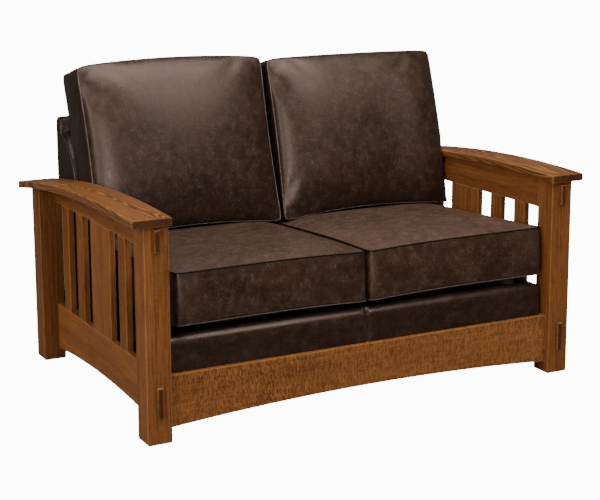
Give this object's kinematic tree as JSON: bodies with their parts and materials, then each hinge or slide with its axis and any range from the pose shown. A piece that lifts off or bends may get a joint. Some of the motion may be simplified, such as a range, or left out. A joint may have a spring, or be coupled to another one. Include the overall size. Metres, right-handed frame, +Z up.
{
  "type": "loveseat",
  "caption": "Slatted oak settee for a pair of sitters, with bowed arm boards, arched rails, a sprung leather deck, a padded leaning back and loose boxed leather cushions",
  "frame": {"origin": "on the floor, under the middle of the box round the whole settee, which the arm boards set", "axes": "X along the seat to the right as seen from in front, Y from the front to the back, Z up"},
  "size_m": [1.52, 1.012, 0.9847],
  "materials": {
    "oak": "medium brown stained quarter-sawn oak, satin",
    "inner_wood": "unstained hardwood and board",
    "leather": "dark brown leather, lightly worn",
    "cushion_leather": "dark brown leather over foam, lightly worn",
    "steel": "plain",
    "felt": "pressed felt",
    "foam": "upholstery foam",
    "webbing": "jute webbing",
    "dust_cloth": "black cambric"
  },
  "bodies": {
    "frame": {"front_post_left": "oak", "front_post_right": "oak", "rear_post_left": "oak", "rear_post_right": "oak", "arm_board_left": "oak", "arm_board_right": "oak", "upper_side_rail_left": "oak", "upper_side_rail_right": "oak", "lower_side_rail_left": "oak", "lower_side_rail_right": "oak", "side_slat_left_1": "oak", "side_slat_left_2": "oak", "side_slat_left_3": "oak", "side_slat_left_4": "oak", "side_slat_left_5": "oak", "side_slat_right_1": "oak", "side_slat_right_2": "oak", "side_slat_right_3": "oak", "side_slat_right_4": "oak", "side_slat_right_5": "oak", "front_rail": "oak", "rear_rail": "oak", "lower_tenon_end_left": "oak", "lower_tenon_end_right": "oak", "upper_tenon_end_left": "oak", "upper_tenon_end_right": "oak", "corner_blocks": "inner_wood", "deck_cleat_left": "inner_wood", "deck_cleat_right": "inner_wood", "front_cleat": "inner_wood", "rear_cleat": "inner_wood", "deck_front_bar": "inner_wood", "deck_rear_bar": "inner_wood", "deck_side_bars": "inner_wood", "deck_centre_bar": "inner_wood", "back_stile_left": "inner_wood", "back_stile_right": "inner_wood", "back_centre_stile": "inner_wood", "back_top_rail": "inner_wood", "back_middle_rail": "inner_wood", "back_bottom_rail": "inner_wood", "back_hangers": "inner_wood", "block_screws": "steel", "seat_springs_left": "steel", "seat_springs_right": "steel", "spring_clips": "steel", "deck_leather": "leather", "back_leather": "leather", "back_side_leather_left": "leather", "back_side_leather_right": "leather", "outside_back": "leather", "deck_felt": "felt", "deck_dust_cloth": "dust_cloth", "deck_foam": "foam", "back_foam": "foam", "back_webbing": "webbing"},
    "seat_left": {"seat_cushion_left": "cushion_leather"},
    "seat_right": {"seat_cushion_right": "cushion_leather"},
    "back_left": {"back_cushion_left": "cushion_leather"},
    "back_right": {"back_cushion_right": "cushion_leather"}
  },
  "joints": [
    {"name": "seat_cushion_left_lift", "type": "slide", "parent": "frame", "child": "seat_left", "axis": [0, 0, 1], "range_m": [0, 0.4]},
    {"name": "seat_cushion_right_lift", "type": "slide", "parent": "frame", "child": "seat_right", "axis": [0, 0, 1], "range_m": [0, 0.4]},
    {"name": "back_cushion_left_lift", "type": "slide", "parent": "seat_left", "child": "back_left", "axis": [0, 0, 1], "range_m": [0, 0.45]},
    {"name": "back_cushion_right_lift", "type": "slide", "parent": "seat_right", "child": "back_right", "axis": [0, 0, 1], "range_m": [0, 0.45]}
  ]
}
